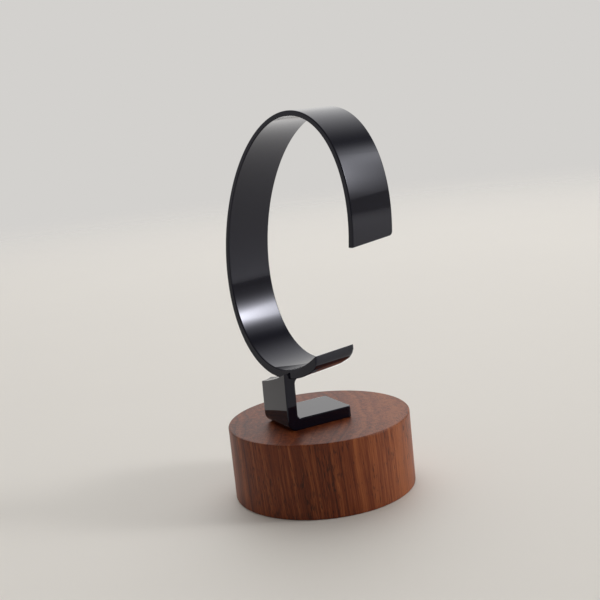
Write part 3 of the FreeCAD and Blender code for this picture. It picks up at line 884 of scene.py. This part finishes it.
def sky(stage):
    """The world round the table: a pale room up to a little above the eye's level and dimmer
    overhead, darker on the right, and as dim as overhead behind the camera."""
    world = bpy.data.worlds.new("studio")
    bpy.context.scene.world = world
    world.use_nodes = True
    tree = world.node_tree
    tree.nodes.clear()
    toward = add_node(tree, "ShaderNodeTexCoord")["Generated"]
    height = add_node(tree, "ShaderNodeSeparateXYZ", i0=toward)[2]
    room, above = linear(stage.room), linear(stage.room_above)
    dark, dark_above = linear(stage.dark_side), linear(stage.dark_side_above)
    tone = add_node(tree, "ShaderNodeValToRGB", i0=height, stops=(
        (0.0, room), (0.24, room), (0.5, above), (1.0, above)))["Color"]
    shade = add_node(tree, "ShaderNodeValToRGB", i0=height, stops=(
        (0.0, dark), (0.1, dark), (0.5, dark_above), (0.75, above)))["Color"]
    # Each side: the way it lies, how near to that way it starts and is full, and its colour.
    for way, start, full, side in (
        (from_view(stage, right=1, away=0.15, up=0).normalized(), 0.5, 0.8, shade),
        (from_view(stage, right=0, away=-1, up=0), 0.1, 0.9, above),
    ):
        turned = add_node(tree, "ShaderNodeVectorMath", {"operation": "DOT_PRODUCT"},
                          i0=toward, i1=way)["Value"]
        share = add_node(tree, "ShaderNodeMapRange", {"interpolation_type": "SMOOTHSTEP"},
                         Value=turned, From_Min=start, From_Max=full)[0]
        tone = add_node(tree, "ShaderNodeMix", {"data_type": "RGBA"},
                        i0=share, i6=tone, i7=side)[2]
    glow = add_node(tree, "ShaderNodeBackground", Color=tone)[0]
    add_node(tree, "ShaderNodeOutputWorld", Surface=glow)


class WATCHSTAND_OT_stage(Operator):
    """The floor, the lamps, the world and the camera"""
    bl_idname = "watch_stand.stage"
    bl_label = "Stage"

    def execute(self, context):
        stage = context.scene.watch_stand_stage
        mesh = bpy.data.meshes.new("floor")
        mesh.from_pydata([(x * FLOOR_REACH, y * FLOOR_REACH, 0)
                          for x, y in ((-1, -1), (1, -1), (1, 1), (-1, 1))], [], [(0, 1, 2, 3)])
        floor = new_piece("floor", mesh)
        floor.data.materials.append(painted_floor(stage))

        distant_lamp("key softbox", stage, azimuth=98.2, elevation=18.5, reach=2.4,
                     fade=(5.5, 5.2), steepness=1.3, strength=45.0, roll=33)
        distant_lamp("side fill", stage, azimuth=82, elevation=26, reach=2.4,
                     fade=(7, 7), steepness=2.0, strength=2.6)
        distant_lamp("back softbox", stage, azimuth=2, elevation=50, reach=2.0,
                     fade=(38, 34), steepness=2.5, strength=1.6)
        # A lamp lies flat on the table behind the stand, like a lit card, and the cuff's inner
        # side reflects it.
        card = from_view(stage, right=0.035, away=0.16, up=0.005)
        soft_lamp("low card", card, aim=card + Vector((0, 0, 1)), fade=(0.10, 0.10),
                  steepness=2.5, strength=1.2, roll=stage.camera_heading)
        sky(stage)

        camera = bpy.data.cameras.new("camera")
        camera.lens = stage.camera_lens
        camera.clip_start, camera.clip_end = CAMERA_NEAR, CAMERA_FAR
        view = new_piece("camera", camera)
        view.matrix_world = (Matrix.Translation(stage.camera_place)
                             @ Matrix.Rotation(stage.camera_heading, 4, "Z")
                             @ Matrix.Rotation(math.pi / 2 - stage.camera_dip, 4, "X")
                             @ Matrix.Rotation(-stage.camera_roll, 4, "Z"))
        context.scene.camera = view
        context.scene.view_settings.view_transform = "Standard"
        return {"FINISHED"}


class WATCHSTAND_PT_panel(Panel):
    """The stand's parts and its stage, each with its sizes"""
    bl_idname = "WATCHSTAND_PT_panel"
    bl_label = "Watch stand"
    bl_space_type = "VIEW_3D"
    bl_region_type = "UI"
    bl_category = "Watch stand"

    def draw(self, context):
        scene = context.scene
        for operator, group in (
            (WATCHSTAND_OT_block, scene.watch_stand_block),
            (WATCHSTAND_OT_holder, scene.watch_stand_holder),
            (WATCHSTAND_OT_screws, scene.watch_stand_screws),
            (WATCHSTAND_OT_stage, scene.watch_stand_stage),
        ):
            box = self.layout.box()
            box.operator(operator.bl_idname)
            for name in group.bl_rna.properties.keys():
                if name not in ("rna_type", "name"):
                    box.prop(group, name)


GROUPS = {
    "watch_stand_block": WatchStandBlock,
    "watch_stand_holder": WatchStandHolder,
    "watch_stand_screws": WatchStandScrews,
    "watch_stand_stage": WatchStandStage,
}
OPERATORS = (WATCHSTAND_OT_block, WATCHSTAND_OT_holder, WATCHSTAND_OT_screws, WATCHSTAND_OT_stage)
CLASSES = (*GROUPS.values(), *OPERATORS, WATCHSTAND_PT_panel)


def register():
    for entry in CLASSES:
        bpy.utils.register_class(entry)
    for name, group in GROUPS.items():
        setattr(bpy.types.Scene, name, PointerProperty(type=group))


def unregister():
    for name in GROUPS:
        delattr(bpy.types.Scene, name)
    for entry in reversed(CLASSES):
        bpy.utils.unregister_class(entry)


def main():
    register()
    bpy.ops.watch_stand.block()
    bpy.ops.watch_stand.holder()
    bpy.ops.watch_stand.screws()
    bpy.ops.watch_stand.stage()


if __name__ == "__main__":
    main()
